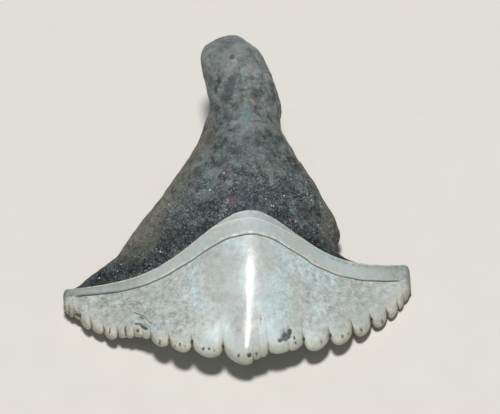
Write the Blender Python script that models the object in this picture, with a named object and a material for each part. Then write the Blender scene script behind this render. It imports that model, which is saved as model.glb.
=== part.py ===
"""Comb-crowned fossil fish tooth, lying with its outer face up.

The tooth grew as one piece, so it is one closed solid. Its plan, seen from above, is a grid of
columns (left to right) and rows (cutting edge to stem tip), and each point of the grid carries an
upper height on the outer face and a lower height on the inner face. The two faces meet all round
the outline of the plan. Rows follow the cutting edge, the groove under the enamel band, the rim
of the band and then the root, so that each of these stays a crisp line.

X runs left to right across the comb, Y from the cutting edge towards the stem, Z up from the
surface that the tooth lies on. All sizes below are millimetres, measured from the middle of the
line between the two ends of the crown. The finished tooth is shifted so that its origin lies
under the middle of its plan.
"""

import bmesh
import bpy
import numpy as np

MM = 0.001
PLAN_MIDDLE_Y = 3.05

# Crown: the arch of the enamel across the tooth, seen along Y
CROWN_HALF_SPAN = 7.05
ARCH_CENTRE = 0.62
ARCH_LEFT_WIDTH = 3.1
ARCH_RIGHT_WIDTH = 2.65
ARCH_POWER = 2.0
CROWN_END_RADIUS = 0.2
END_MARGIN = 0.08

# Groove under the band: heights and places at its peak and at both ends
GROOVE_PEAK_Z = 3.5
GROOVE_LEFT_Z = 1.1
GROOVE_RIGHT_Z = 0.8
GROOVE_PEAK_Y = 0.76
GROOVE_END_Y = -0.12

# Enamel band: its rim stands above the groove and beyond it
RIM_CENTRE = 0.74
RIM_LEFT_WIDTH = 3.3
RIM_RIGHT_WIDTH = 2.6
RIM_POWER = 1.75
RIM_PEAK_Y = 1.65
RIM_LEFT_Y = 0.2
RIM_RIGHT_Y = 0.6
RIM_PEAK_RISE = 0.45
RIM_END_RISE = 0.12
RIM_STEP = 0.16

# Band from the groove to the rim: share of its width, and lift off the plain slope
BAND_PROFILE = ((0.0, -0.14), (0.1, 0.06), (0.45, 0.07), (1.0, 0.0))

# Cutting edge: where the clefts of the comb lie, and how high the edge stands over the floor
CLEFT_X = (-7.05, -6.64, -5.96, -4.91, -3.57, -1.93, -0.68, 1.13, 2.58, 3.64, 4.59, 5.36, 6.02, 6.48, 7.05)
CLEFT_Y = (-0.4, -0.68, -1.3, -1.88, -2.42, -3.09, -3.35, -3.6, -3.11, -2.67, -2.15, -1.7, -1.36, -1.03, -0.36)
EDGE_X = (-7.05, -6.0, -5.0, -4.0, -3.0, -1.9, 0.0, 1.7, 3.0, 4.0, 5.0, 5.7, 6.5, 7.05)
EDGE_Z = (0.42, 0.45, 0.6, 0.98, 1.24, 1.31, 1.2, 1.14, 0.92, 0.7, 0.35, 0.15, 0.05, 0.05)
EDGE_THICKNESS = 0.52
EDGE_RADIUS = 0.3
TIP_GAP = 0.42

# Comb, left to right: right-hand cleft, reach of the lobe past its clefts, shallowness of that cleft
COMB = (
    (-6.85, 0.09, 0.0),
    (-6.64, 0.14, 0.0),
    (-6.39, 0.07, 0.0),
    (-5.96, 0.27, 0.0),
    (-5.45, 0.22, 0.0),
    (-4.91, 0.33, 0.0),
    (-4.56, 0.14, 0.05),
    (-4.24, 0.12, 0.0),
    (-3.9, 0.07, 0.04),
    (-3.57, 0.13, 0.0),
    (-2.83, 0.42, 0.08),
    (-1.93, 0.47, 0.0),
    (-0.68, 0.54, 0.0),
    (0.5, 0.43, 0.36),
    (0.8, 0.07, 0.26),
    (1.13, 0.14, 0.0),
    (1.97, 0.16, 0.2),
    (2.58, 0.19, 0.0),
    (3.64, 0.58, 0.0),
    (4.59, 0.69, 0.0),
    (5.36, 0.61, 0.0),
    (6.02, 0.47, 0.0),
    (6.48, 0.31, 0.0),
    (6.74, 0.19, 0.0),
    (6.97, 0.1, 0.0),
)
LOBE_SQUARENESS = 2.25
NOTCH_FILL = 2.6
WIDE_LOBE = 0.7
WIDE_LOBE_COLUMNS = 6
NARROW_LOBE_COLUMNS = 4
END_COLUMNS = 2
CLEFT_DEPTH = 0.17
CLEFT_SHARE = 0.3
CLEFT_LENGTH = 0.3
CLEFT_FALL = 1.5
FLUTE_DEPTH = 0.06
FLUTE_SHARE = 0.085
FLUTE_LENGTH = 1.3
KEEL_HEIGHT = 0.3
KEEL_FOOT_WIDTH = 0.6
KEEL_BROW_WIDTH = 1.2
KEEL_X = 0.33
KEEL_RISE = 1.5
EVEN_RATE = 1.5
CROWN_SHARES = (0.0, 0.02, 0.07, 0.2, 0.42, 0.7, 0.95)

# Inner face of the crown: wall thickness at the groove, and share of the clefts' depth it shows
WALL_SIDE = 1.2
WALL_CENTRE = 2.4
INNER_DIP = 0.6

# Root stations from the rim of the band to the stem tip, one line each:
# middle y, left x, left y, right x, right y, side z, ridge z, underside z
ROOT_STATIONS = (
    (1.65, -7.05, 0.2, 7.05, 0.6, 0.5, 3.95, 1.2),
    (1.85, -6.7, 0.38, 5.2, 0.7, 0.52, 3.86, 0.85),
    (2.15, -6.2, 0.62, 4.48, 1.0, 0.6, 3.88, 0.4),
    (2.6, -5.15, 1.05, 4.05, 1.55, 0.85, 3.95, 0.0),
    (3.1, -4.15, 2.4, 4.3, 2.22, 1.15, 4.03, -0.15),
    (4.0, -3.3, 3.05, 3.7, 3.45, 1.7, 4.2, -0.15),
    (5.2, -1.7, 5.1, 2.72, 5.15, 2.4, 4.4, 0.0),
    (6.3, -1.04, 6.3, 2.2, 6.2, 2.85, 4.56, 0.75),
    (7.3, -0.68, 7.3, 2.24, 7.2, 3.22, 4.75, 1.75),
    (8.4, -0.76, 8.3, 2.0, 8.2, 3.62, 4.88, 2.6),
    (9.1, -0.88, 9.1, 1.7, 9.1, 3.86, 4.9, 2.98),
    (9.7, -0.82, 9.7, 1.26, 9.7, 4.0, 4.75, 3.3),
    (10.12, -0.3, 10.1, 0.84, 10.1, 4.08, 4.45, 3.7),
    (10.25, 0.22, 10.25, 0.4, 10.25, 4.08, 4.12, 4.04),
)
STEM_TIP = (0.31, 10.27, 4.08)
ROOT_SHARES = (0.015, 0.08, 0.155, 0.23, 0.31, 0.4, 0.5, 0.6, 0.7, 0.8, 0.88, 0.94, 0.98)
ROOT_END_RADIUS = 0.3
ROOT_BLEND = 0.42
ROOT_TURN = 0.28

# Root surface: broad lumps
LUMP_HEIGHT = 0.06
LUMP_WAVELENGTH = 1.6
LUMP_SPREAD = (0.7, 1.6)
LUMP_FADE = 0.1
LUMP_SEED = 11
LUMP_WAVES = 24

WELD_DISTANCE = 1e-7

ENAMEL = (0.62, 0.66, 0.66, 1.0)
ENAMEL_ROUGHNESS = 0.22
DENTINE = (0.085, 0.09, 0.095, 1.0)
DENTINE_ROUGHNESS = 0.85


def spline(at, knots, values):
    """Cubic through the knots, with each slope taken from the neighbouring knots."""
    knots = np.asarray(knots, dtype=float)
    values = np.asarray(values, dtype=float)
    slopes = np.gradient(values, knots)
    at = np.clip(at, knots[0], knots[-1])
    i = np.clip(np.searchsorted(knots, at, side="right") - 1, 0, len(knots) - 2)
    step = knots[i + 1] - knots[i]
    u = (at - knots[i]) / step
    near = (1 + 2 * u) * (1 - u) ** 2 * values[i] + u * (1 - u) ** 2 * step * slopes[i]
    far = u * u * (3 - 2 * u) * values[i + 1] - u * u * (1 - u) * step * slopes[i + 1]
    return near + far


def smoothstep(value):
    """Ramp from 0 to 1 with level ends."""
    value = np.clip(value, 0.0, 1.0)
    return value * value * (3 - 2 * value)


def bell(x, centre, left_width, right_width, power):
    """Bell with its own width on each side, 1 at the centre."""
    width = np.where(x < centre, left_width, right_width)
    return np.exp(-((np.abs(x - centre) / width) ** power))


def rounding(distance, radius):
    """Share of the full half-thickness at a distance inside the outline, a quarter circle."""
    inside = np.clip(distance / radius, 0.0, 1.0)
    return np.sqrt(1 - (1 - inside) ** 2)


def lumps(x, y):
    """Smooth unevenness between about -1 and 1, a sum of plane waves in seeded directions."""
    rng = np.random.default_rng(LUMP_SEED)
    total = np.zeros_like(x)
    for _ in range(LUMP_WAVES):
        angle = rng.uniform(0, 2 * np.pi)
        phase = rng.uniform(0, 2 * np.pi)
        number = 2 * np.pi / (LUMP_WAVELENGTH * rng.uniform(*LUMP_SPREAD))
        total += np.sin(number * (x * np.cos(angle) + y * np.sin(angle)) + phase)
    return total / np.sqrt(LUMP_WAVES)


def bulge(across):
    """Outline of a lobe, a superellipse: 1 at its middle and 0 at its clefts."""
    return (1 - np.abs(across) ** LOBE_SQUARENESS) ** (1 / LOBE_SQUARENESS)


def comb_columns():
    """Columns across the comb, two arrays of x and four of lobe values.

    The first x is even within each lobe, the second crowds towards the clefts. The lobe values
    are the place across the lobe from -1 to 1, its width, how far the edge stands out there, and
    how open the clefts are, which is less beside a shallow one.
    """
    even, crowded, across, width, reach, clear = [], [], [], [], [], []
    left, left_notch = -CROWN_HALF_SPAN + END_MARGIN, 0.0
    for right, lobe_reach, right_notch in COMB:
        count = WIDE_LOBE_COLUMNS if right - left > WIDE_LOBE else NARROW_LOBE_COLUMNS
        steps = np.arange(count) / count
        u = -np.cos(np.pi * steps)
        even.append(left + (right - left) * steps)
        crowded.append(left + (right - left) * (u + 1) / 2)
        across.append(u)
        width.append(np.full(count, right - left))
        notch = left_notch + (right_notch - left_notch) * steps
        reach.append(notch + lobe_reach * bulge(u))
        clear.append(np.clip(1 - NOTCH_FILL * notch, 0, 1))
        left, left_notch = right, right_notch
    steps = np.arange(END_COLUMNS + 1) / (END_COLUMNS + 1)
    left_end = -CROWN_HALF_SPAN + END_MARGIN * (1 - np.cos(np.pi / 2 * steps))
    right_end = (CROWN_HALF_SPAN - END_MARGIN) + END_MARGIN * np.sin(np.pi / 2 * np.append(steps, 1.0))
    edges = [(left_end, right_end), (left_end, right_end), (-1.0, 1.0), (0.0, 0.0), (0.0, 0.0), (1.0, 1.0)]
    columns = []
    for parts, (first, last) in zip((even, crowded, across, width, reach, clear), edges):
        first = np.broadcast_to(first, left_end.shape)
        last = np.broadcast_to(last, right_end.shape)
        columns.append(np.concatenate([first, *parts, last]))
    return columns


def groove_line(x):
    """Place and height of the crown's upper edge, under the band."""
    arch = bell(x, ARCH_CENTRE, ARCH_LEFT_WIDTH, ARCH_RIGHT_WIDTH, ARCH_POWER)
    end_z = np.where(x < ARCH_CENTRE, GROOVE_LEFT_Z, GROOVE_RIGHT_Z)
    z = end_z + (GROOVE_PEAK_Z - end_z) * arch
    y = GROOVE_END_Y + (GROOVE_PEAK_Y - GROOVE_END_Y) * arch
    return y, z


def rim_arch(x):
    """Arch of the band's rim, 1 at its peak."""
    return bell(x, RIM_CENTRE, RIM_LEFT_WIDTH, RIM_RIGHT_WIDTH, RIM_POWER)


def rim_line(x):
    """Place and height of the band's upper rim."""
    arch = rim_arch(x)
    end_y = np.where(x < RIM_CENTRE, RIM_LEFT_Y, RIM_RIGHT_Y)
    y = end_y + (RIM_PEAK_Y - end_y) * arch
    z = groove_line(x)[1] + RIM_END_RISE + (RIM_PEAK_RISE - RIM_END_RISE) * arch
    return y, z


def wall_thickness(x):
    """Crown wall at the groove, thickest behind the arch."""
    arch = bell(x, ARCH_CENTRE, ARCH_LEFT_WIDTH, ARCH_RIGHT_WIDTH, ARCH_POWER)
    return WALL_SIDE + (WALL_CENTRE - WALL_SIDE) * arch


def end_rounding(x):
    """Share of the half-thickness left near the two ends of the crown."""
    return rounding(CROWN_HALF_SPAN - np.abs(x), CROWN_END_RADIUS)


def flutes(columns, past):
    """Depth of the clefts, which die away from the edge, and of the soft flutes above them."""
    _, _, u, width, _, clear = columns
    sharp = np.minimum(CLEFT_DEPTH, CLEFT_SHARE * width) * (1 - bulge(u))
    soft = np.minimum(FLUTE_DEPTH, FLUTE_SHARE * width) * u * u
    near = np.exp(-((past / CLEFT_LENGTH) ** CLEFT_FALL))
    return (sharp * near + soft * np.clip(1 - past / FLUTE_LENGTH, 0, 1) ** 2) * clear


def crown_row(columns, share):
    """Row of the crown, share 0 at the cutting edge and 1 at the groove.

    The face runs straight from a smooth line just past the lobes' tips up to the groove.
    """
    even, crowded, reach = columns[0], columns[1], columns[4]
    edge_y = spline(crowded, CLEFT_X, CLEFT_Y) - reach
    groove_y = groove_line(even)[0]
    x = crowded + (even - crowded) * smoothstep(share * EVEN_RATE)
    y = edge_y + (groove_y - edge_y) * share
    dip = flutes(columns, y - edge_y)
    keel_width = KEEL_FOOT_WIDTH + (KEEL_BROW_WIDTH - KEEL_FOOT_WIDTH) * share
    keel = KEEL_HEIGHT * share**KEEL_RISE * (1 - share) * np.exp(-(((x - KEEL_X) / keel_width) ** 2))
    near_y, near_z = groove_line(x)
    foot = spline(x, CLEFT_X, CLEFT_Y) - TIP_GAP
    low = spline(x, EDGE_X, EDGE_Z) + EDGE_THICKNESS
    face = low + (near_z - low) * (y - foot) / (near_y - foot)
    top = face - dip + keel
    bottom = face - EDGE_THICKNESS - (wall_thickness(even) - EDGE_THICKNESS) * share + INNER_DIP * dip
    soft = rounding(y - edge_y, EDGE_RADIUS) * end_rounding(even)
    middle = (top + bottom) / 2
    return x, y, middle + (top - middle) * soft, middle - (middle - bottom) * soft


def band_row(columns, share, lift):
    """Row of the enamel band, share 0 at the groove and 1 at the rim, lifted off its plain slope."""
    x = columns[0]
    groove_y, groove_z = groove_line(x)
    rim_y, rim_z = rim_line(x)
    face = groove_z + (rim_z - groove_z) * share
    bottom = face - wall_thickness(x)
    middle = (face + bottom) / 2
    top = middle + (face + lift - middle) * end_rounding(x)
    return x, groove_y + (rim_y - groove_y) * share, top, middle - (middle - bottom) * end_rounding(x)


def root_row(columns, share):
    """Row of the root, share 0 at the rim of the band and 1 at the stem tip."""
    stations = np.array(ROOT_STATIONS)
    knots = np.linspace(0, 1, len(stations))
    mid_y, left_x, left_y, right_x, right_y, side_z, ridge_z, low_z = (
        spline(share, knots, stations[:, k]) for k in range(stations.shape[1])
    )
    across = columns[0] / CROWN_HALF_SPAN
    turned = np.sin(np.pi / 4 * (across + np.linspace(-1, 1, len(across))))
    blend = smoothstep(share / ROOT_BLEND)
    place = across + (turned - across) * smoothstep(share / ROOT_TURN)
    x = (left_x + right_x) / 2 + (right_x - left_x) / 2 * place
    arch = rim_arch(x)
    side_arch = np.where(across < 0, rim_arch(left_x), rim_arch(right_x))
    over = (arch - side_arch) / (1 - side_arch)
    over = over + (1 - place * place - over) * blend
    side_y = np.where(across < 0, left_y, right_y)
    y = side_y + (mid_y - side_y) * over
    rim_z = rim_line(x)[1] - RIM_STEP + ridge_z - ROOT_STATIONS[0][6]
    top = rim_z + (ridge_z - rim_z) * blend
    band_bottom = groove_line(x)[1] - wall_thickness(x)
    bottom = band_bottom + (low_z - band_bottom) * smoothstep(share / ROOT_TURN)
    half_width = (right_x - left_x) / 2
    inside = half_width * (1 - np.abs(place))
    soft = rounding(inside, ROOT_END_RADIUS + (half_width - ROOT_END_RADIUS) * blend)
    rough = LUMP_HEIGHT * lumps(x, y) * soft * smoothstep(share / LUMP_FADE)
    return x, y, side_z + (top + rough - side_z) * soft, side_z - (side_z - bottom + rough) * soft


def tooth_rows():
    """All rows from the cutting edge to the last one before the stem tip."""
    columns = comb_columns()
    rows = [crown_row(columns, share) for share in CROWN_SHARES]
    rows += [band_row(columns, share, lift) for share, lift in BAND_PROFILE]
    rows += [root_row(columns, share) for share in ROOT_SHARES]
    return rows


def ring_of(row):
    """Closed ring of one row: along the upper face, then back along the lower face."""
    x, y, top, bottom = row
    bottom = np.maximum(bottom, 0.0)
    top = np.maximum(top, bottom)
    upper = np.column_stack([x, y, top])
    lower = np.column_stack([x, y, bottom])[1:-1][::-1]
    return np.vstack([upper, lower])


def tooth_mesh():
    """One closed mesh: rings joined row to row, the cutting edge welded, the stem closed on its tip."""
    rings = [ring_of(row) for row in tooth_rows()]
    count = len(rings[0])
    points = np.vstack(rings + [np.array([STEM_TIP])])
    faces = []
    for r in range(len(rings) - 1):
        for k in range(count):
            after = (k + 1) % count
            faces.append((r * count + k, r * count + after, (r + 1) * count + after, (r + 1) * count + k))
    last = (len(rings) - 1) * count
    for k in range(count):
        faces.append((last + k, last + (k + 1) % count, len(points) - 1))
    points[:, 1] -= PLAN_MIDDLE_Y
    mesh = bpy.data.meshes.new("tooth")
    mesh.from_pydata((points * MM).tolist(), [], faces)
    weld(mesh)
    mesh.shade_smooth()
    return mesh


def weld(mesh):
    """Merges the two faces where they meet along the cutting edge."""
    shape = bmesh.new()
    shape.from_mesh(mesh)
    bmesh.ops.remove_doubles(shape, verts=shape.verts, dist=WELD_DISTANCE)
    bmesh.ops.dissolve_degenerate(shape, edges=shape.edges, dist=WELD_DISTANCE)
    shape.to_mesh(mesh)
    shape.free()


def finish(name, color, roughness):
    """Plain Principled material."""
    material = bpy.data.materials.new(name)
    material.use_nodes = True
    shader = material.node_tree.nodes["Principled BSDF"]
    shader.inputs["Base Color"].default_value = color
    shader.inputs["Roughness"].default_value = roughness
    shader.inputs["Metallic"].default_value = 0.0
    return material


def is_enamel(center):
    """True where a face belongs to the crown or its band."""
    return center.y / MM + PLAN_MIDDLE_Y < rim_line(center.x / MM)[0]


def build():
    """Clears the scene and makes the tooth."""
    for old in list(bpy.data.objects):
        bpy.data.objects.remove(old, do_unlink=True)
    collection = bpy.data.collections.new("fossil_fish_tooth")
    bpy.context.scene.collection.children.link(collection)
    mesh = tooth_mesh()
    mesh.materials.append(finish("enamel", ENAMEL, ENAMEL_ROUGHNESS))
    mesh.materials.append(finish("dentine", DENTINE, DENTINE_ROUGHNESS))
    for face in mesh.polygons:
        face.material_index = 0 if is_enamel(face.center) else 1
    collection.objects.link(bpy.data.objects.new("tooth", mesh))


build()
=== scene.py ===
"""Finish of a comb-crowned fossil fish tooth that lies with its outer face up.

The tooth is one piece. Its surface is a grid of columns (left to right, crowding towards the
clefts of the comb) and rows (cutting edge, groove, rim of the enamel band, root, stem tip). Each
point of the grid has an upper height on the outer face and a lower height on the inner face, and
the two faces meet all round the outline.

Lengths are millimetres in the crown's own frame: X runs across the comb, Y from the cutting edge
towards the stem, Z up from the surface that the tooth lies on, with the origin midway between the
two ends of the crown. Meshes are written in metres, shifted to the middle of the tooth's plan.
"""

import itertools
import logging
import math
from dataclasses import dataclass, field
from enum import Enum
from typing import ClassVar, Optional, Sequence, Union

import bpy
import numpy as np
from mathutils import Matrix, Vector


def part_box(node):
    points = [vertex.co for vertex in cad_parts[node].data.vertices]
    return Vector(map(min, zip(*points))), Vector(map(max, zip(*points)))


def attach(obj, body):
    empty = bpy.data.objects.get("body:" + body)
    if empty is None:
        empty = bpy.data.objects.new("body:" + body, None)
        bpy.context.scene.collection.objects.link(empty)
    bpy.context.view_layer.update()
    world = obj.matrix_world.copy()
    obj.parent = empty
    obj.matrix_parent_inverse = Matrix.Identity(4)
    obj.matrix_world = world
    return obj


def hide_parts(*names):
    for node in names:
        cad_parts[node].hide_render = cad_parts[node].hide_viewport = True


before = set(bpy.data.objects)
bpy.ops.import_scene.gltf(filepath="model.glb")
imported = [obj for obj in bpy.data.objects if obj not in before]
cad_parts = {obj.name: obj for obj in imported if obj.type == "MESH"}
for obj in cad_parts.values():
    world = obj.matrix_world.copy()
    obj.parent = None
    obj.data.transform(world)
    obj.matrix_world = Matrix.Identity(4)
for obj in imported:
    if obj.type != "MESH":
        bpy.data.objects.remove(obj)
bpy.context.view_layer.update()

MM = 0.001
PLAN_MIDDLE_Y = 3.05
log = logging.getLogger("tooth")

# Shortest squared length of a line, for those that are single points
TINY = 1e-12
# Shortest and longest wave of a sum of sines, as shares of the middle one
WAVE_SPREAD = (0.7, 1.6)
# Size of the table of lattice numbers, and the primes that pick from it
LATTICE_TABLE = 65521
LATTICE_KEYS = (73856093, 19349663, 83492791)

Array = np.ndarray
Colour = tuple[float, float, float]
Point = tuple[float, float]
Span = tuple[float, float]


class Tissue(Enum):
    """The two tissues that the tooth shows, by material index."""

    ENAMEL = 0
    DENTINE = 1


# Shapes as formulas


def spline(at: Array, knots: Sequence[float], values: Sequence[float]) -> Array:
    """Cubic through the knots, whose slope at each knot comes from the knots beside it.

    Args:
        at: where to read the curve.
        knots: rising places of the knots.
        values: the curve's value at each knot.

    Returns:
        The curve's values, held level past both ends.
    """
    knots = np.asarray(knots, dtype=float)
    values = np.asarray(values, dtype=float)
    slopes = np.gradient(values, knots)
    at = np.clip(at, knots[0], knots[-1])
    i = np.clip(np.searchsorted(knots, at, side="right") - 1, 0, len(knots) - 2)
    step = knots[i + 1] - knots[i]
    u = (at - knots[i]) / step
    near = (1 + 2 * u) * (1 - u) ** 2 * values[i] + u * (1 - u) ** 2 * step * slopes[i]
    far = u * u * (3 - 2 * u) * values[i + 1] - u * u * (1 - u) * step * slopes[i + 1]
    return near + far


def smoothstep(value: Array) -> Array:
    """Ramp from 0 to 1 with level ends, 3 v squared less 2 v cubed."""
    value = np.clip(value, 0.0, 1.0)
    return value * value * (3 - 2 * value)


def rounding(distance: Array, radius: Array) -> Array:
    """Quarter circle: share of the full half-thickness at a distance inside the outline."""
    inside = np.clip(distance / radius, 0.0, 1.0)
    return np.sqrt(1 - (1 - inside) ** 2)


def waves(x: Array, y: Array, length: float, count: int, seed: int) -> Array:
    """Smooth unevenness between about -1 and 1, a sum of sines in seeded directions.

    Args:
        x: places across.
        y: places along.
        length: middle wavelength.
        count: how many sines are summed.
        seed: seed of their directions, phases and wavelengths.

    Returns:
        The sum, divided by the root of the count.
    """
    rng = np.random.default_rng(seed)
    total = np.zeros_like(x)
    for _ in range(count):
        angle = rng.uniform(0, 2 * np.pi)
        phase = rng.uniform(0, 2 * np.pi)
        number = 2 * np.pi / (length * rng.uniform(*WAVE_SPREAD))
        total += np.sin(number * (x * np.cos(angle) + y * np.sin(angle)) + phase)
    return total / np.sqrt(count)


def grain(points: Array, cell: float, seed: int) -> Array:
    """Value noise: a seeded number at each corner of a cubic lattice, joined by level ramps.

    Args:
        points: places, one row each.
        cell: spacing of the lattice.
        seed: seed of its numbers.

    Returns:
        One value from -1 to 1 for each point.
    """
    table = np.random.default_rng(seed).uniform(-1, 1, LATTICE_TABLE)
    scaled = points / cell
    base = np.floor(scaled).astype(np.int64)
    part = smoothstep(scaled - base)
    total = np.zeros(len(points))
    for corner in itertools.product((0, 1), repeat=3):
        key = (base + corner) @ np.array(LATTICE_KEYS)
        weight = np.prod(np.where(corner, part, 1 - part), axis=1)
        total += weight * table[key % len(table)]
    return total


def segment_distance(x: Array, y: Array, start: Point, end: Point) -> Array:
    """Distance in plan from each point to the line between start and end.

    Args:
        x: places across.
        y: places along.
        start: start of the line.
        end: end of the line.

    Returns:
        The distances, from the nearest point of the line.
    """
    run = np.array([end[0] - start[0], end[1] - start[1]])
    length = max(run @ run, TINY)
    share = np.clip(((x - start[0]) * run[0] + (y - start[1]) * run[1]) / length, 0, 1)
    return np.hypot(x - start[0] - share * run[0], y - start[1] - share * run[1])


@dataclass(frozen=True)
class Arch:
    """Bell across the tooth with its own width on each side of its centre."""

    centre: float
    left: float
    right: float
    power: float

    def at(self, x: Array) -> Array:
        """Value at x: e to the minus (distance over width) to the power, 1 at the centre."""
        width = np.where(x < self.centre, self.left, self.right)
        return np.exp(-((np.abs(x - self.centre) / width) ** self.power))

    def mix(self, x: Array, left_end: float, right_end: float, peak: float) -> Array:
        """Value that runs from either end's to the peak's as the bell rises."""
        end = np.where(x < self.centre, left_end, right_end)
        return end + (peak - end) * self.at(x)


@dataclass(frozen=True)
class Scar:
    """Pit, slit or chip: a line between two points of the plan with a radius and a depth."""

    # Radii from the line at which a dent is deepest, and at which it ends
    FLOOR: ClassVar[float] = 0.5
    BRINK: ClassVar[float] = 1.15

    start: Point
    end: Point
    radius: float
    depth: float
    dark: float

    @classmethod
    def of(cls, *row: float) -> "Scar":
        """Scar from its start, its end if it is no single point, radius, depth and darkness."""
        return cls(row[:2], row[-5:-3], *row[-3:])

    def dent(self, x: Array, y: Array) -> Array:
        """Depth at each point, full near the line and a level-ended ramp further off."""
        gap = segment_distance(x, y, self.start, self.end) / self.radius
        return self.depth * smoothstep((self.BRINK - gap) / (self.BRINK - self.FLOOR))


@dataclass(frozen=True)
class Mark:
    """Stain of the root: its place and its colour."""

    place: Scar
    colour: Colour


@dataclass
class Columns:
    """Columns across the comb, one array value each."""

    even: Array
    crowded: Array
    place: Array
    share: Array
    width: Array
    reach: Array
    open: Array

    def every(self, step: int) -> "Columns":
        """The same columns thinned to every so many."""
        return Columns(*(getattr(self, name)[::step] for name in self.__dataclass_fields__))


@dataclass
class Patch:
    """Rows by columns of the surface, with what the finishes read there.

    The distances run over the plan: past is from the cutting edge, groove and rim are counted
    from those lines, negative before them.
    """

    x: Array
    y: Array
    top: Array
    bottom: Array
    past: Array
    groove: Array
    rim: Array
    across: Array
    cleft: Array

    def traits(self) -> dict[str, Array]:
        """The arrays that become attributes of the mesh."""
        return {n: getattr(self, n) for n in ("past", "groove", "rim", "across", "cleft")}


@dataclass
class Comb:
    """Cutting edge: its lobes from left to right and the clefts between them."""

    half_span: float = 7.05
    margin: float = 0.08
    cleft_x: tuple = (
        -7.05, -6.64, -5.96, -4.91, -3.57, -1.93, -0.68, 1.13,
        2.58, 3.64, 4.59, 5.36, 6.02, 6.48, 7.05,
    )
    cleft_y: tuple = (
        -0.4, -0.68, -1.3, -1.88, -2.42, -3.09, -3.35, -3.6,
        -3.11, -2.67, -2.15, -1.7, -1.36, -1.03, -0.36,
    )
    edge_x: tuple = (-7.05, -6.0, -5.0, -4.0, -3.0, -1.9, 0.0, 1.7, 3.0, 4.0, 5.0, 5.7, 6.5, 7.05)
    edge_z: tuple = (
        0.42, 0.45, 0.6, 0.98, 1.24, 1.31, 1.2, 1.14, 0.92, 0.7, 0.35, 0.15, 0.05, 0.05,
    )
    # Right-hand cleft, reach of the lobe past its clefts, shallowness of that cleft
    lobes: tuple = (
        (-6.85, 0.09, 0.0), (-6.64, 0.14, 0.0), (-6.39, 0.07, 0.0), (-5.96, 0.27, 0.0),
        (-5.45, 0.22, 0.0), (-4.91, 0.33, 0.0), (-4.56, 0.14, 0.05), (-4.24, 0.12, 0.0),
        (-3.9, 0.07, 0.04), (-3.57, 0.13, 0.0), (-2.83, 0.42, 0.08), (-1.93, 0.47, 0.0),
        (-0.68, 0.54, 0.0), (0.5, 0.43, 0.36), (0.8, 0.07, 0.26), (1.13, 0.14, 0.0),
        (1.97, 0.16, 0.2), (2.58, 0.19, 0.0), (3.64, 0.58, 0.0), (4.59, 0.69, 0.0),
        (5.36, 0.61, 0.0), (6.02, 0.47, 0.0), (6.48, 0.31, 0.0), (6.74, 0.19, 0.0),
        (6.97, 0.1, 0.0),
    )
    spacing: float = 0.0345
    fewest: int = 6
    end_columns: int = 8
    end_radius: float = 0.2
    end_width: float = 0.16
    squareness: float = 2.1
    notch_fill: float = 2.6

    def bulge(self, place: Array) -> Array:
        """Outline of a lobe, a superellipse: 1 at its middle and 0 at its clefts."""
        return (1 - np.abs(place) ** self.squareness) ** (1 / self.squareness)

    def columns(self) -> Columns:
        """Columns that are even within a lobe, and others that crowd towards its clefts.

        Returns:
            All columns. The crowded place is minus the cosine of pi times the even share.
        """
        rows = []
        left, left_notch = -self.half_span + self.margin, 0.0
        for right, reach, notch in self.lobes:
            width = right - left
            count = max(self.fewest, 2 * round(width / self.spacing / 2))
            share = np.arange(count) / count
            place = -np.cos(np.pi * share)
            shallow = left_notch + (notch - left_notch) * share
            even, crowded = left + width * share, left + width * (place + 1) / 2
            clear = np.clip(1 - self.notch_fill * shallow, 0, 1)
            out = shallow + reach * self.bulge(place)
            rows.append((even, crowded, place, share, np.full(count, width), out, clear))
            left, left_notch = right, notch
        turn = np.pi / 2 * np.arange(self.end_columns) / self.end_columns
        first = -self.half_span + self.margin * (1 - np.cos(turn))
        last = self.half_span - self.margin * (1 - np.sin(np.append(turn, np.pi / 2)))
        rows.insert(0, self.end_block(first, -1.0, 0.0))
        rows.append(self.end_block(last, 1.0, 1.0))
        return Columns(*(np.concatenate(parts) for parts in zip(*rows)))

    def end_block(self, x: Array, place: float, share: float) -> tuple:
        """Columns past the outermost lobe, which take part in no lobe."""
        flat = np.ones_like(x)
        return x, x, place * flat, share * flat, self.end_width * flat, 0 * flat, flat

    def end_rounding(self, x: Array) -> Array:
        """Share of the full thickness near the two ends of the crown."""
        return rounding(self.half_span - np.abs(x), self.end_radius)

    def cleft_line(self, x: Array) -> Array:
        """Place of the clefts' line along the edge."""
        return spline(x, self.cleft_x, self.cleft_y)

    def edge_height(self, x: Array) -> Array:
        """Height of the edge's underside over the floor."""
        return spline(x, self.edge_x, self.edge_z)


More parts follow.
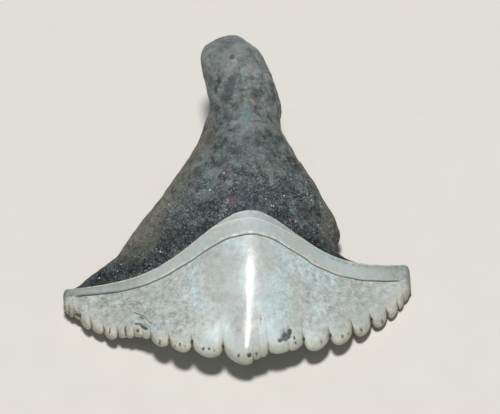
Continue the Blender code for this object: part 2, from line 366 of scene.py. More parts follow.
@dataclass
class Groove:
    """Fine groove between the crown's face and the band, with its small wanderings."""

    arch: Arch = Arch(0.62, 3.1, 2.65, 2.0)
    peak_z: float = 3.5
    left_z: float = 1.1
    right_z: float = 0.8
    peak_y: float = 0.76
    end_y: float = -0.12
    depth: float = 0.15
    half_width: float = 0.02
    starts: Point = (-6.62, -6.2)
    stops: Point = (6.35, 6.72)
    wander: float = 0.016
    wander_length: float = 1.1
    wander_waves: int = 9
    wander_seed: int = 5
    kink: float = 0.03
    kink_x: float = 3.0
    kink_turn: float = 0.05
    kink_length: float = 0.5
    wall_side: float = 1.2
    wall_centre: float = 2.4

    def line(self, x: Array) -> tuple[Array, Array]:
        """Place and height of the groove: a bell, its wanderings, and a kink (tanh times a bell).

        Args:
            x: places across.

        Returns:
            Y and Z of the groove.
        """
        y = self.arch.mix(x, self.end_y, self.end_y, self.peak_y)
        sway = waves(x, 0 * x, self.wander_length, self.wander_waves, self.wander_seed)
        off = x - self.kink_x
        turn = np.tanh(off / self.kink_turn) * np.exp(-((off / self.kink_length) ** 2))
        return y + self.wander * sway * self.open(x) - self.kink * turn, self.height(x)

    def height(self, x: Array) -> Array:
        """Height of the groove over the floor, the bell between its ends and its peak."""
        return self.arch.mix(x, self.left_z, self.right_z, self.peak_z)

    def open(self, x: Array) -> Array:
        """How far the groove is open, 0 past its ends and 1 between them."""
        left = smoothstep((x - self.starts[0]) / (self.starts[1] - self.starts[0]))
        return left * smoothstep((self.stops[1] - x) / (self.stops[1] - self.stops[0]))

    def wall(self, x: Array) -> Array:
        """Thickness of the crown behind the groove, greatest behind the arch."""
        return self.arch.mix(x, self.wall_side, self.wall_side, self.wall_centre)


@dataclass
class Band:
    """Enamel band between the groove and its rim, with a lip, a fine second step and an edge."""

    arch: Arch = Arch(0.74, 3.3, 2.6, 1.75)
    peak_y: float = 1.65
    left_y: float = 0.2
    right_y: float = 0.6
    peak_rise: float = 0.45
    end_rise: float = 0.12
    swell: float = 0.0525
    lip: float = 0.022
    lip_at: float = 0.05
    lip_width: float = 0.065
    edge_radius: float = 0.05
    edge_drop: float = 0.035
    step: float = 0.03
    step_share: float = 0.62
    step_end: float = 1.05
    step_x: float = 1.0
    step_half: float = 2.0
    step_slope: float = 0.035
    step_fade: float = 6.0
    # Distances of the rows from the groove and from the rim
    near_groove: tuple = (0.0, 0.012, 0.026, 0.042, 0.065, 0.1)
    near_rim: tuple = (0.085, 0.05, 0.026, 0.01, 0.0)
    middle_rows: int = 7

    def rim(self, x: Array, groove: Groove) -> tuple[Array, Array]:
        """Place and height of the rim: beyond the groove and above it."""
        rise = self.arch.mix(x, self.end_rise, self.end_rise, self.peak_rise)
        return self.arch.mix(x, self.left_y, self.right_y, self.peak_y), groove.height(x) + rise

    def step_line(self, x: Array) -> Array:
        """Share of the band's width where the fine second step lies, a parabola up to the rim."""
        side = (x - self.step_x) / self.step_half
        return self.step_share + (self.step_end - self.step_share) * side**2

    def patch(self, columns: Columns, groove: Groove, comb: Comb) -> Patch:
        """Band from the groove to the rim.

        The face runs straight from groove to rim. It is lifted by a swelling (a parabola) and by
        a lip beside the groove (a bell), and lowered by the groove and past the second step
        (level-ended ramps) and at its upper edge (a quarter circle).

        Args:
            columns: columns across.
            groove: the groove that the band starts from.
            comb: the cutting edge, for the distances.

        Returns:
            The band's rows, from the groove's bottom to the rim.
        """
        x = columns.even
        groove_y, groove_z = groove.line(x)
        rim_y, rim_z = self.rim(x, groove)
        width = rim_y - groove_y
        first, last = self.near_groove[-1], self.near_rim[0]
        spread = np.linspace(0, 1, self.middle_rows + 2)[1:-1, None]
        past = np.vstack([
            np.array(self.near_groove)[:, None] + 0 * x,
            first + (width - first - last) * spread,
            width - np.array(self.near_rim)[:, None],
        ])
        share = past / width
        face = groove_z + (rim_z - groove_z) * share
        lip = self.lip * np.exp(-(((past - self.lip_at) / self.lip_width) ** 2))
        cut = groove.depth * (1 - smoothstep(past / groove.half_width))
        line = self.step_line(x)
        step = self.step * smoothstep((share - line) * width / self.step_slope)
        lift = self.swell * 4 * share * (1 - share) + (lip - cut) * groove.open(x)
        lift = lift - self.edge_drop * (1 - rounding(width - past, self.edge_radius))
        lift = lift - step * smoothstep((1 - line) * self.step_fade)
        bottom = face - groove.wall(x)
        soft = comb.end_rounding(x)
        middle = (face + bottom) / 2
        height = groove_y - comb.cleft_line(x) + columns.reach
        flat = 0 * past
        return Patch(
            x=x + flat, y=groove_y + width * share,
            top=middle + (face + lift - middle) * soft, bottom=middle - (middle - bottom) * soft,
            past=height + past, groove=past, rim=past - width, across=x + flat, cleft=flat,
        )


@dataclass
class Crown:
    """Glossy enamel face from the cutting edge to the groove, fluted by the comb."""

    edge_thickness: float = 0.52
    edge_radius: float = 0.25
    edge_share: float = 0.4
    tip_gap: float = 0.42
    even_rate: float = 1.5
    flute: float = 0.062
    flute_share: float = 0.06
    flute_length: float = 1.35
    flute_most: float = 1.1
    cleft: float = 0.08
    cleft_share: float = 0.16
    cleft_length: float = 0.13
    cleft_fall: float = 1.5
    inner_dip: float = 0.6
    keel: float = 0.3
    keel_rise: float = 1.5
    keel_foot_width: float = 0.6
    keel_brow_width: float = 1.2
    keel_x: float = 0.15
    keel_lean: float = 0.6
    brow: float = 0.28
    brow_x: float = 0.57
    brow_width: float = 0.62
    # Bend before the groove: lift as a share of the rise, where it ends, width about the keel
    level: float = 0.14
    level_from: float = 0.58
    level_width: float = 2.2
    foot_ridge: float = 0.1
    foot_ridge_width: float = 0.42
    # Calm about the keel: its width, and the share of the flutes that it takes away
    calm_width: float = 1.35
    calm: float = 0.8
    # How far the columns bow to the left half-way up, by place across
    lean_x: tuple = (-7.05, -5.5, -2.5, 0.2, 2.5, 5.0, 7.05)
    lean: tuple = (0.0, 0.13, 0.12, 0.03, 0.14, 0.18, 0.0)
    edge_rows: int = 12
    middle_rows: int = 25
    # Distances of the last rows from the groove
    near_groove: tuple = (0.12, 0.085, 0.06, 0.045, 0.03, 0.015)

    def distances(self, height: Array) -> Array:
        """Distances from the edge of all rows at each column.

        Args:
            height: distance from the edge to the groove at each column.

        Returns:
            Rows by columns: a quarter circle at the edge, then even steps, then set distances
            short of the groove.
        """
        radius = np.minimum(self.edge_radius, self.edge_share * height)
        turn = np.linspace(0, np.pi / 2, self.edge_rows)[:, None]
        gaps = np.array(self.near_groove)[:, None] + 0 * height
        stop = height - gaps[0]
        spread = np.linspace(0, 1, self.middle_rows + 2)[1:-1, None]
        return np.vstack([
            radius * (1 - np.cos(turn)),
            radius + (stop - radius) * spread,
            height - gaps,
        ])

    def dip(self, columns: Columns, comb: Comb, past: Array, beyond: Array, evened: Array) -> Array:
        """Depth of the flutes: sharp clefts near the edge over a soft swell further up.

        A cleft is one less the lobe's superellipse and dies away as a bell of the distance. The
        swell is a cosine across the lobe and fades with the square of the length left. Both are
        calmer by a flat-topped bell about the keel.

        Args:
            columns: columns across.
            comb: the cutting edge.
            past: distance from the edge.
            beyond: distance past the line of the clefts.
            evened: how far the columns have gone from crowded to even.

        Returns:
            Depth below the face.
        """
        fall = np.exp(-((past / self.cleft_length) ** self.cleft_fall))
        sharp = np.minimum(self.cleft, self.cleft_share * columns.width)
        sharp = sharp * (1 - comb.bulge(columns.place)) * fall
        soft = np.minimum(self.flute, self.flute_share * columns.width)
        fade = np.clip(1 - beyond / self.flute_length, 0, self.flute_most) ** 2
        calm = 1 - self.calm * np.exp(-(((columns.even - self.keel_x) / self.calm_width) ** 4))
        turn = (columns.place + 1) / 2
        turn = turn + (columns.share - turn) * evened
        return (sharp + soft * (1 + np.cos(2 * np.pi * turn)) / 2 * fade) * columns.open * calm

    def patch(self, columns: Columns, groove: Groove, band: Band, comb: Comb) -> Patch:
        """Crown from the cutting edge to just short of the groove.

        The face runs straight from a smooth line through the lobes' tips to the groove. About
        the keel it rises faster, and a parabola over its upper part takes that back. The flutes
        are taken off. The keel is added: a bell across that widens upwards, times a power of the
        share and what is left of the share, plus a narrow bell that is highest at the foot, less
        a bell that flattens the brow. Both faces round off to their middle at the outline.

        Args:
            columns: columns across.
            groove: the groove that the crown ends at.
            band: the band past it, for the distances.
            comb: the cutting edge.

        Returns:
            The crown's rows, from the edge.
        """
        edge_y = comb.cleft_line(columns.crowded) - columns.reach
        groove_y = groove.line(columns.even)[0]
        height = groove_y - edge_y
        past = self.distances(height)
        share = past / height
        evened = smoothstep(share * self.even_rate)
        x = columns.crowded + (columns.even - columns.crowded) * evened
        x = x - spline(columns.even, self.lean_x, self.lean) * np.sin(np.pi * share)
        beyond = edge_y + past - comb.cleft_line(x)
        dip = self.dip(columns, comb, past, beyond, evened)
        spread = self.keel_foot_width + (self.keel_brow_width - self.keel_foot_width) * share
        off = x - self.keel_x - self.keel_lean * share
        rise = share**self.keel_rise * (1 - share)
        keel = self.keel * rise * np.exp(-((off / spread) ** 2))
        ridge = np.exp(-((off / self.foot_ridge_width) ** 2))
        keel = keel + self.foot_ridge * (1 - share) ** self.keel_rise * ridge
        brow = np.exp(-(((x - self.brow_x) / self.brow_width) ** 2))
        keel = keel - self.brow * share**2 * (1 - share) * brow
        near_y, near_z = groove.line(x)
        foot = comb.cleft_line(x) - self.tip_gap
        low = comb.edge_height(x) + self.edge_thickness
        up = (edge_y + past - foot) / (near_y - foot)
        turn = np.clip((up - self.level_from) / (1 - self.level_from), 0, 1) ** 2
        turn = self.level * (up - turn) * np.exp(-((off / self.level_width) ** 2))
        face = low + (near_z - low) * (up + turn)
        cut = 1 - smoothstep((height - past) / groove.half_width)
        top = face - dip + keel - groove.depth * groove.open(columns.even) * cut
        thicker = groove.wall(columns.even) - self.edge_thickness
        bottom = face - self.edge_thickness - thicker * share + self.inner_dip * dip
        soft = rounding(past, self.edge_radius) * comb.end_rounding(columns.even)
        middle = (top + bottom) / 2
        rim_y = band.rim(columns.even, groove)[0]
        return Patch(
            x=x, y=edge_y + past,
            top=middle + (top - middle) * soft, bottom=middle - (middle - bottom) * soft,
            past=past, groove=past - height, rim=past - height - (rim_y - groove_y),
            across=columns.even + 0 * past,
            cleft=(1 + np.cos(2 * np.pi * columns.share)) / 2 * columns.open + 0 * past,
        )


@dataclass
class Root:
    """Matte root: a broad arch behind the band that narrows to the stem."""

    # Middle y, left x, left y, right x, right y, side z, ridge z, underside z
    stations: tuple = (
        (1.65, -7.05, 0.2, 7.05, 0.6, 0.5, 3.95, 1.2),
        (1.85, -6.7, 0.38, 5.2, 0.7, 0.52, 3.86, 0.85),
        (2.15, -6.2, 0.62, 4.48, 1.0, 0.6, 3.88, 0.4),
        (2.6, -5.15, 1.05, 4.05, 1.55, 0.85, 3.95, 0.0),
        (3.1, -4.15, 2.4, 4.3, 2.22, 1.15, 4.03, -0.15),
        (4.0, -3.3, 3.05, 3.7, 3.45, 1.7, 4.2, -0.15),
        (5.2, -1.7, 5.1, 2.72, 5.15, 2.4, 4.4, 0.0),
        (6.3, -1.04, 6.3, 2.2, 6.2, 2.85, 4.56, 0.75),
        (7.3, -0.68, 7.3, 2.24, 7.2, 3.22, 4.75, 1.75),
        (8.4, -0.76, 8.3, 2.0, 8.2, 3.62, 4.88, 2.6),
        (9.1, -0.88, 9.1, 1.7, 9.1, 3.86, 4.9, 2.98),
        (9.7, -0.82, 9.7, 1.26, 9.7, 4.0, 4.75, 3.3),
        (10.12, -0.3, 10.1, 0.84, 10.1, 4.08, 4.45, 3.7),
        (10.25, 0.22, 10.25, 0.4, 10.25, 4.08, 4.12, 4.04),
    )
    tip: tuple = (0.31, 10.27, 4.08)
    blend: float = 0.42
    turn: float = 0.28
    rim_step: float = 0.16
    step_share: float = 0.004
    end_radius: float = 0.3
    lump: float = 0.06
    lump_length: float = 1.6
    lump_waves: int = 24
    lump_seed: int = 11
    lump_from: float = 0.1
    foot_shares: tuple = (0.0015, 0.0035, 0.007)
    foot_length: float = 0.04
    curve_steps: int = 400
    rows: int = 98
    tip_rows: int = 7

    def shares(self) -> Array:
        """Row shares past the band's foot, even along the middle and crowding at the tip.

        Returns:
            The shares, rising, with the sine of even turns at the tip.
        """
        fine = np.linspace(0, 1, self.curve_steps)
        knots = np.linspace(0, 1, len(self.stations))
        middle = spline(fine, knots, [s[0] for s in self.stations])
        start, stop = middle[0] + self.foot_length, self.stations[-2][0]
        even = np.interp(np.linspace(start, stop, self.rows), middle, fine)
        turn = np.linspace(0, np.pi / 2, self.tip_rows + 2)[1:-1]
        return np.append(even, even[-1] + (1 - even[-1]) * np.sin(turn))

    def patch(
        self, columns: Columns, shares: Array, groove: Groove, band: Band, comb: Comb,
    ) -> Patch:
        """Root rows, share 0 at the rim and 1 at the stem tip.

        The outline and three heights are curves through the stations. Across a row, the plan
        bends over the ridge by the band's arch near the rim and by one less the square of the
        place further on, and the heights round off to the side's height at the outline. Lumps,
        a sum of sines, are added on both faces.

        Args:
            columns: columns across.
            shares: the rows' shares.
            groove: the groove, for the crown's thickness behind the band.
            band: the band that the root starts behind.
            comb: the cutting edge, for its span.

        Returns:
            The root's rows.
        """
        share = np.asarray(shares)[:, None]
        stations = np.array(self.stations)
        knots = np.linspace(0, 1, len(stations))
        mid_y, left_x, left_y, right_x, right_y, side_z, ridge_z, low_z = (
            spline(share, knots, stations[:, k]) for k in range(stations.shape[1])
        )
        across = columns.even / comb.half_span
        turned = np.sin(np.pi / 4 * (across + np.linspace(-1, 1, len(across))))
        blend = smoothstep(share / self.blend)
        place = across + (turned - across) * smoothstep(share / self.turn)
        half = (right_x - left_x) / 2
        x = (left_x + right_x) / 2 + half * place
        side_arch = band.arch.at(np.where(across < 0, left_x, right_x))
        over = (band.arch.at(x) - side_arch) / (1 - side_arch)
        over = over + (1 - place * place - over) * blend
        side_y = np.where(across < 0, left_y, right_y)
        y = side_y + (mid_y - side_y) * over
        drop = self.rim_step * smoothstep(share / self.step_share)
        first_ridge_z = stations[0, 6]
        rim_z = band.rim(x, groove)[1] - drop + ridge_z - first_ridge_z
        top = rim_z + (ridge_z - rim_z) * blend
        behind = groove.height(x) - groove.wall(x)
        bottom = behind + (low_z - behind) * smoothstep(share / self.turn)
        radius = self.end_radius + (half - self.end_radius) * blend
        soft = rounding(half * (1 - np.abs(place)), radius)
        rough = waves(x, y, self.lump_length, self.lump_waves, self.lump_seed)
        rough = self.lump * rough * soft * smoothstep(share / self.lump_from)
        rim_y = band.rim(columns.even, groove)[0]
        gone = np.maximum(y - band.rim(x, groove)[0], 0)
        height = rim_y - comb.cleft_line(columns.even) + columns.reach
        return Patch(
            x=x, y=y, top=side_z + (top + rough - side_z) * soft,
            bottom=side_z - (side_z - bottom + rough) * soft,
            past=height + gone, groove=gone + rim_y - groove.line(columns.even)[0], rim=gone,
            across=columns.even + 0 * y, cleft=0 * y,
        )


@dataclass
class Relief:
    """Fine relief that is pressed into the finished surface along its normals."""

    # Size of the lattice, height and seed, for the root and for the enamel
    root_grain: tuple = ((0.55, 0.028, 31), (0.24, 0.018, 32), (0.11, 0.008, 33))
    enamel_grain: tuple = ((0.9, 0.007, 41), (0.36, 0.0035, 42))
    root_from: float = 0.12
    pits: int = 120
    pits_from: float = 0.3
    pit_radius: Span = (0.05, 0.14)
    pit_depth: float = 0.045
    pit_seed: int = 77
    keep_flat: float = 0.02
    fade_flat: float = 0.25

    def shift(self, points: Array, traits: dict[str, Array], scars: Sequence[Scar]) -> Array:
        """Height to add along each point's normal.

        Args:
            points: the surface's points.
            traits: their traits, by name.
            scars: pits, slits and chips of the outer face.

        Returns:
            Value noise at each size, stronger on the root, less the pits and scars, and nothing
            where the tooth touches the floor.
        """
        root = smoothstep(traits["rim"] / self.root_from)
        total = -root * self.pitting(points, traits["rim"])
        for share, sizes in ((root, self.root_grain), (1 - root, self.enamel_grain)):
            for cell, height, seed in sizes:
                total += share * height * grain(points, cell, seed)
        outer = 1 - traits["inner"]
        for scar in scars:
            total -= outer * scar.dent(points[:, 0], points[:, 1])
        return total * smoothstep((points[:, 2] - self.keep_flat) / self.fade_flat)

    def pitting(self, points: Array, rim: Array) -> Array:
        """Depth of the root's seeded pits, each a bell of the distance from its middle.

        Args:
            points: the surface's points.
            rim: their distance from the rim.

        Returns:
            The depth at each point.
        """
        rng = np.random.default_rng(self.pit_seed)
        total = np.zeros(len(points))
        on_root = np.flatnonzero(rim > self.pits_from)
        for centre in points[rng.choice(on_root, self.pits, replace=False)]:
            radius = rng.uniform(*self.pit_radius)
            gap = np.sum((points - centre) ** 2, axis=1)
            total += self.pit_depth * radius / self.pit_radius[1] * np.exp(-gap / radius**2)
        return total


def put(name: str, data: bpy.types.ID) -> bpy.types.Object:
    """Adds an object of that mesh, light or camera to the scene.

    Args:
        name: the object's name.
        data: its mesh, light or camera.

    Returns:
        The object.
    """
    made = bpy.data.objects.new(name, data)
    bpy.context.scene.collection.objects.link(made)
    return made


# Shader maths


class Wire:
    """One value of a shader. Arithmetic on it adds Math nodes."""

    def __init__(self, graph: "Graph", socket: bpy.types.NodeSocket) -> None:
        """Wraps a node's output."""
        self.graph = graph
        self.socket = socket

    def _math(self, operation: str, *values: "Value") -> "Wire":
        """One Math node on these values."""
        return self.graph.node("ShaderNodeMath", {"operation": operation}, dict(enumerate(values)))

    def __add__(self, other: "Value") -> "Wire":
        """Sum."""
        return self._math("ADD", self, other)

    def __sub__(self, other: "Value") -> "Wire":
        """Difference."""
        return self._math("SUBTRACT", self, other)

    def __rsub__(self, other: "Value") -> "Wire":
        """Difference from a number."""
        return self._math("SUBTRACT", other, self)

    def __mul__(self, other: "Value") -> "Wire":
        """Product."""
        return self._math("MULTIPLY", self, other)

    def __abs__(self) -> "Wire":
        """Size without sign."""
        return self._math("ABSOLUTE", self)

    def least(self, other: "Value") -> "Wire":
        """The smaller of the two."""
        return self._math("MINIMUM", self, other)

    def most(self, other: "Value") -> "Wire":
        """The larger of the two."""
        return self._math("MAXIMUM", self, other)

    def ramp(self, start: float, stop: float) -> "Wire":
        """Level-ended ramp, 0 at start and 1 at stop, whichever is larger.

        Args:
            start: value at which the ramp is 0.
            stop: value at which it is 1.

        Returns:
            The ramp.
        """
        ends = (start, stop, 0.0, 1.0) if start < stop else (stop, start, 1.0, 0.0)
        settings = {"interpolation_type": "SMOOTHSTEP"}
        return self.graph.node("ShaderNodeMapRange", settings, dict(enumerate((self, *ends))))

    __radd__ = __add__
    __rmul__ = __mul__


Value = Union[Wire, float]
Paint = Union[Wire, Colour]


class Graph:
    """Nodes of one material. Places are millimetres in the crown's frame."""

    # Radii from a scar's line between which its colour grows
    SCAR_EDGE: ClassVar[Span] = (1.2, 0.5)
    # Swells to the millimetre of the noise that makes a scar's outline ragged
    RAGGED: ClassVar[float] = 9.0

    def __init__(self, name: str) -> None:
        """Starts a material with its shader and its place.

        Args:
            name: the material's name.
        """
        self.material = bpy.data.materials.new(name)
        self.material.use_nodes = True
        self.tree = self.material.node_tree
        self.shader = self.tree.nodes["Principled BSDF"]
        held = self.node("ShaderNodeTexCoord", {}, {}, "Object")
        moved = {"Vector": held, "Location": (0.0, PLAN_MIDDLE_Y, 0.0), "Scale": (1 / MM,) * 3}
        self.place = self.node("ShaderNodeMapping", {}, moved)

    def fill(self, node: bpy.types.Node, values: dict) -> None:
        """Sets or links the sockets of a node.

        Args:
            node: the node.
            values: a number, colour, vector or wire for each socket, by name or number.
        """
        for key, value in values.items():
            socket = node.inputs[key]
            if isinstance(value, Wire):
                self.tree.links.new(value.socket, socket)
            elif socket.type == "RGBA":
                socket.default_value = (*value, 1.0)
            else:
                socket.default_value = value

    def node(self, kind: str, settings: dict, values: dict, output: Union[int, str] = 0) -> Wire:
        """Adds a node.

        Args:
            kind: the node's type.
            settings: its properties, set first.
            values: what its sockets hold, by name or number.
            output: which of its outputs is meant.

        Returns:
            That output.
        """
        node = self.tree.nodes.new(kind)
        for key, value in settings.items():
            setattr(node, key, value)
        self.fill(node, values)
        return Wire(self, node.outputs[output])

    def trait(self, name: str) -> Wire:
        """An attribute of the mesh."""
        return self.node("ShaderNodeAttribute", {"attribute_name": name}, {}, "Fac")

    def axis(self, number: int) -> Wire:
        """One coordinate of the place."""
        return self.node("ShaderNodeSeparateXYZ", {}, {0: self.place}, number)

    def noise(
        self, per_mm: float, detail: float = 2.0, rough: float = 0.5, at: Optional[Wire] = None,
    ) -> Wire:
        """Cloudy noise about one half, with so many swells to the millimetre."""
        values = {"Vector": at or self.place, "Scale": per_mm, "Detail": detail, "Roughness": rough}
        return self.node("ShaderNodeTexNoise", {}, values)

    def mix(self, share: Value, under: Paint, over: Paint) -> Wire:
        """Lays one colour over another by a share."""
        return self.node("ShaderNodeMix", {"data_type": "RGBA"}, {0: share, 6: under, 7: over}, 2)

    def vector(self, operation: str, values: dict, output: int = 0) -> Wire:
        """One Vector Math node."""
        return self.node("ShaderNodeVectorMath", {"operation": operation}, values, output)

    def shade(self, color: Wire, tone: Wire) -> Wire:
        """Makes a colour lighter or darker by a factor."""
        return self.vector("SCALE", {0: color, "Scale": tone})

    def ragged(self, amount: float) -> Wire:
        """The plan's place, pushed about by a fine noise of so many millimetres.

        Args:
            amount: farthest push in millimetres.

        Returns:
            The pushed place, at height 0.
        """
        flat = self.vector("MULTIPLY", {0: self.place, 1: (1.0, 1.0, 0.0)})
        fine = {"Vector": self.place, "Scale": self.RAGGED}
        push = self.node("ShaderNodeTexNoise", {}, fine, "Color")
        sway = {0: push, 1: (2 * amount, 2 * amount, 0.0), 2: (-amount, -amount, 0.0)}
        return self.vector("ADD", {0: flat, 1: self.vector("MULTIPLY_ADD", sway)})

    def covered(self, scars: Sequence[Scar], plan: Wire) -> Wire:
        """Share covered by the scars, the most of any of them.

        Args:
            scars: the scars.
            plan: place in plan.

        Returns:
            The share.
        """
        total = None
        for scar in scars:
            share = self.scar_gap(scar, plan).ramp(*self.SCAR_EDGE) * scar.dark
            total = share if total is None else total.most(share)
        return total

    def scar_gap(self, scar: Scar, plan: Wire) -> Wire:
        """Distance in plan from a scar's line, in its own radii.

        Args:
            scar: the scar.
            plan: place in plan.

        Returns:
            The distance.
        """
        if scar.start == scar.end:
            gap = self.vector("DISTANCE", {0: plan, 1: (*scar.start, 0.0)}, 1)
            return gap * (1 / scar.radius)
        run = (scar.end[0] - scar.start[0], scar.end[1] - scar.start[1], 0.0)
        length = run[0] ** 2 + run[1] ** 2
        off = self.vector("SUBTRACT", {0: plan, 1: (*scar.start, 0.0)})
        share = self.vector("DOT_PRODUCT", {0: off, 1: run}, 1) * (1 / length)
        along = self.vector("SCALE", {0: run, "Scale": share.most(0.0).least(1.0)})
        return self.vector("DISTANCE", {0: off, 1: along}, 1) * (1 / scar.radius)

    def bump(self, height: Wire, depth: float) -> Wire:
        """Normal of a height whose whole range is so many millimetres."""
        values = {"Strength": 1.0, "Distance": depth * MM, "Height": height}
        return self.node("ShaderNodeBump", {}, values)


@dataclass(frozen=True)
class EnamelFinish:
    """Glossy blue-grey enamel, clouded, creamy at the tips, with dark pits and clefts; the clefts'
    dark is dirt and painted shade, and the band carries painted highlights.
    """

    cool: Colour = (0.55, 0.65, 0.645)
    warm: Colour = (0.49, 0.52, 0.49)
    worn: Colour = (0.39, 0.405, 0.365)
    cloud: Colour = (0.33, 0.32, 0.29)
    cream: Colour = (0.535, 0.515, 0.41)
    band: Colour = (0.44, 0.515, 0.505)
    blush: Colour = (0.50, 0.485, 0.44)
    lip: Colour = (0.74, 0.71, 0.61)
    # White of the painted glints
    glint: Colour = (1.0, 0.99, 0.95)
    groove: Colour = (0.07, 0.055, 0.03)
    weathered: Colour = (0.22, 0.25, 0.21)
    # Dark of dirt, which is also painted shade where it lies in the clefts
    dirt_and_shade: Colour = (0.15, 0.13, 0.09)
    pit: Colour = (0.02, 0.03, 0.028)
    chip: Colour = (0.25, 0.36, 0.37)
    roughness: float = 0.4
    coat: float = 0.7
    coat_roughness: float = 0.2
    ior: float = 1.6
    unevenness: float = 0.016
    ragged: float = 0.025
    # Most that each layer of colour covers
    worn_share: float = 0.85
    cloud_share: float = 0.45
    cream_share: float = 0.75
    cleft_dirt_and_shade_share: float = 0.7
    blush_share: float = 0.6
    step_share: float = 0.6
    streak_share: float = 0.8
    ends_share: float = 0.55
    line_share: float = 0.95
    # Places across between which an effect grows
    keel_x: float = 0.2
    clouds_x: float = 0.4
    gloss_x: float = 0.35
    peak_x: float = 1.0
    off_keel: Span = (0.6, 2.6)
    left_face: Span = (-1.0, -2.4)
    far_left: Span = (-1.2, -5.0)
    far_right: Span = (3.0, 6.0)
    band_shade_left: Span = (-2.2, -5.2)
    band_shade_right: Span = (4.0, 6.4)
    lip_left: Span = (-4.4, -2.6)
    lip_right: Span = (4.8, 3.2)
    streak_left: Span = (-3.6, -4.6)
    streak_right: Span = (3.0, 4.4)
    end_left: Span = (-6.0, -6.8)
    end_right: Span = (5.9, 6.7)
    line_left: Span = (-6.65, -6.3)
    line_right: Span = (6.62, 6.3)
    # Distances from the cutting edge between which an effect grows
    off_tips: Span = (0.25, 1.3)
    low_face: Span = (2.2, 1.4)
    cream_tips: Span = (0.5, 0.03)
    cleft_dirt_and_shade_reach: Span = (0.14, 0.02)
    haze_and_shade_reach: Span = (0.8, 0.1)
    # Distances from the groove and from the rim, and the widths of the second step
    lip_start: Span = (0.015, 0.035)
    lip_stop: Span = (0.12, 0.06)
    line_width: Span = (0.028, 0.008)
    edge_width: Span = (-0.1, -0.03)
    step_depth: float = 0.34
    step_wall: Span = (-0.01, 0.03)
    step_width: Span = (0.035, 0.012)

    def dress(self, scars: Sequence[Scar], chips: Sequence[Scar]) -> bpy.types.Material:
        """Builds the material.

        Args:
            scars: dark pits and slits, and the heads of the clefts, whose dark is dirt and painted
                shade.
            chips: pale flaked places.

        Returns:
            The enamel.
        """
        g = Graph("enamel")
        past, groove, across, inner = (g.trait(n) for n in ("past", "groove", "across", "inner"))
        outer = 1.0 - inner
        mottle, speck = g.noise(4.2, 3.0, 0.6), g.noise(13.0, 2.0, 0.6)
        color = self.face(g, across, past, mottle, speck)
        color = self.clefts_dirt_and_shade(g, color, across, past)
        color = self.banding(g, color, across, groove, outer)
        color = self.weathering(g, color, across, groove, outer)
        plan = g.ragged(self.ragged)
        color = g.mix(g.covered(chips, plan) * outer, color, self.chip)
        # Dark of the pits and slits; at the heads of the clefts it is dirt and painted shade
        pits = g.covered(scars, plan) * outer * (0.84 + speck.ramp(0.4, 0.6) * 0.16)
        color = g.mix(pits, color, self.pit)
        rough = self.roughness + (mottle - 0.5) * 0.3 + groove.ramp(0.0, 0.05) * 0.2
        rough = rough + past.ramp(1.0, 0.3) * 0.3 + pits * 0.3
        g.fill(g.shader, {
            "Base Color": color, "Roughness": rough, "IOR": self.ior,
            "Normal": g.bump(g.noise(3.2, 1.0, 0.4), self.unevenness),
            "Coat Weight": self.gloss(across, past, groove, mottle + speck) * (1.0 - pits),
            "Coat Roughness": self.coat_roughness,
        })
        return g.material

    def face(self, g: Graph, across: Wire, past: Wire, mottle: Wire, speck: Wire) -> Wire:
        """Clouded colour of the crown's face, calm at the keel, creamy at the tips, with a slight
        painted shade at the keel's foot.

        Args:
            g: the material's nodes.
            across: place across.
            past: distance from the cutting edge.
            mottle: fine clouds.
            speck: finer specks.

        Returns:
            The colour.
        """
        clouds = g.noise(1.5, 5.0, 0.62)
        busy = 0.55 + abs(across - self.clouds_x).ramp(*self.off_keel) * 0.5
        busy = busy + across.ramp(*self.left_face) * past.ramp(*self.low_face) * 0.4
        busy = busy * (0.65 + past.ramp(*self.off_tips) * 0.35)
        color = g.mix(g.noise(0.7).ramp(0.38, 0.62), self.cool, self.warm)
        far = across.ramp(*self.far_left) + across.ramp(*self.far_right)
        color = g.mix(far * self.worn_share, color, self.worn)
        color = g.mix(clouds.ramp(0.5, 0.68) * busy * self.cloud_share, color, self.cloud)
        grit = g.noise(5.5, 3.0, 0.65).ramp(0.5, 0.66) * (busy * 0.6 - 0.15)
        color = g.mix(grit, color, self.cloud)
        color = g.mix(past.ramp(*self.cream_tips) * self.cream_share, color, self.cream)
        tone = (clouds - 0.5) * 0.9 + (mottle - 0.5) * 1.0 + (speck - 0.5) * 0.8
        # Painted shade: a little darker about the keel near the edge, where the highlight's glow
        # spreads
        foot = abs(across - self.keel_x).ramp(1.3, 0.4) * past.ramp(2.6, 1.2)
        return g.shade(color, 1.0 + tone * busy - foot * 0.06)

    def clefts_dirt_and_shade(self, g: Graph, color: Wire, across: Wire, past: Wire) -> Wire:
        """Dirt and painted shade in the heads of the clefts, with a faint haze of both above it
        away from the keel.

        Args:
            g: the material's nodes.
            color: the colour so far.
            across: place across.
            past: distance from the cutting edge.

        Returns:
            The colour with the dirt on it.
        """
        cleft = g.trait("cleft")
        # Painted shade with dirt: darker in the heads of the clefts and faintly up the flutes
        dirt_and_shade = cleft.ramp(0.86, 1.0) * past.ramp(*self.cleft_dirt_and_shade_reach) * self.cleft_dirt_and_shade_share
        haze_and_shade = 0.05 + abs(across - self.keel_x).ramp(0.8, 1.8) * 0.13
        haze_and_shade = cleft.ramp(0.5, 1.0) * past.ramp(*self.haze_and_shade_reach) * haze_and_shade
        return g.mix(dirt_and_shade.most(haze_and_shade), color, self.dirt_and_shade)

